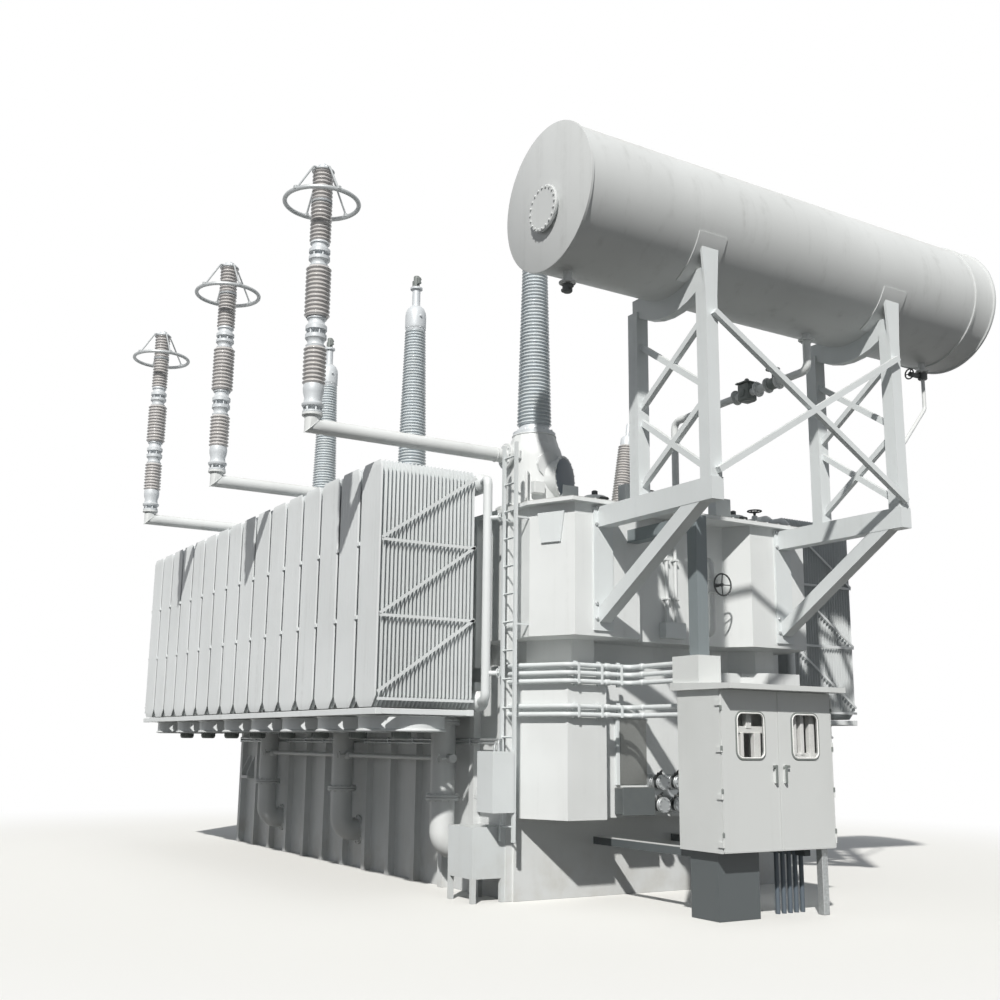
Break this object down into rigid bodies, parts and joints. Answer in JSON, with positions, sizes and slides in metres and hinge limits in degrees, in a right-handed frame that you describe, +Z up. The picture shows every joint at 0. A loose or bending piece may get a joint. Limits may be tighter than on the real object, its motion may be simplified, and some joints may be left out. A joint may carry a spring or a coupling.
{
  "type": "power transformer",
  "caption": "Oil-filled three-phase power transformer with radiator banks and fans, tall bushings, surge arresters, a conservator on trestles and a control cabinet with two doors.",
  "frame": {"origin": "on the ground under the middle of the tank's base", "axes": "+Z up, +X along the tank toward the conservator and the cabinet, -Y toward the high-voltage bushings"},
  "size_m": [12.191, 8.25, 8.2565],
  "materials": {
    "tank_paint": "satin grey paint",
    "radiator_paint": "satin grey paint",
    "frame_paint": "satin grey paint on structural steel",
    "porcelain": "glazed grey porcelain",
    "arrester_porcelain": "glazed brown-grey porcelain",
    "galvanised": "galvanised steel",
    "cabinet_paint": "light grey powder coat",
    "pane_glass": "clear window pane",
    "duct_plastic": "white wiring duct",
    "plate_steel": "bare plate"
  },
  "bodies": {
    "transformer": {"arrester_arm_1": "tank_paint", "arrester_arm_2": "tank_paint", "arrester_arm_3": "tank_paint", "base_section": "tank_paint", "blank_plate": "plate_steel", "cabinet_body": "cabinet_paint", "cabinet_roof": "cabinet_paint", "conduits": "galvanised", "conservator_far_end": "tank_paint", "conservator_near_end": "tank_paint", "conservator_shell": "tank_paint", "fans_back": "radiator_paint", "fans_front": "radiator_paint", "floor_box": "cabinet_paint", "front_brace": "frame_paint", "hv_bushing_1": "porcelain", "hv_bushing_2": "porcelain", "hv_bushing_3": "porcelain", "hv_turret_1": "tank_paint", "hv_turret_2": "tank_paint", "hv_turret_3": "tank_paint", "ladder": "galvanised", "ladder_box": "cabinet_paint", "left_bracket": "frame_paint", "left_trestle": "frame_paint", "lower_tank": "tank_paint", "lv_bushing_1": "porcelain", "lv_bushing_2": "porcelain", "lv_bushing_3": "porcelain", "oil_pipes_back": "tank_paint", "oil_pipes_front": "tank_paint", "radiators_back": "radiator_paint", "radiators_front": "radiator_paint", "relay_pipe": "tank_paint", "right_bracket": "frame_paint", "right_trestle": "frame_paint", "surge_arrester_1": "arrester_porcelain", "surge_arrester_2": "arrester_porcelain", "surge_arrester_3": "arrester_porcelain", "tank_cover": "tank_paint", "upper_tank": "tank_paint", "valve_group": "tank_paint", "wireway": "cabinet_paint", "wiring_panel": "duct_plastic"},
    "left_door": {"left_door": "cabinet_paint", "left_window": "pane_glass"},
    "right_door": {"right_door": "cabinet_paint", "right_window": "pane_glass"}
  },
  "joints": [
    {"name": "left_door_hinge", "type": "hinge", "parent": "transformer", "child": "left_door", "pos_m": [6.562, -1.0445, 0.637], "axis": [0, 0, -1], "range_deg": [0, 110]},
    {"name": "right_door_hinge", "type": "hinge", "parent": "transformer", "child": "right_door", "pos_m": [6.562, 0.4345, 0.637], "axis": [0, 0, 1], "range_deg": [0, 110]}
  ]
}
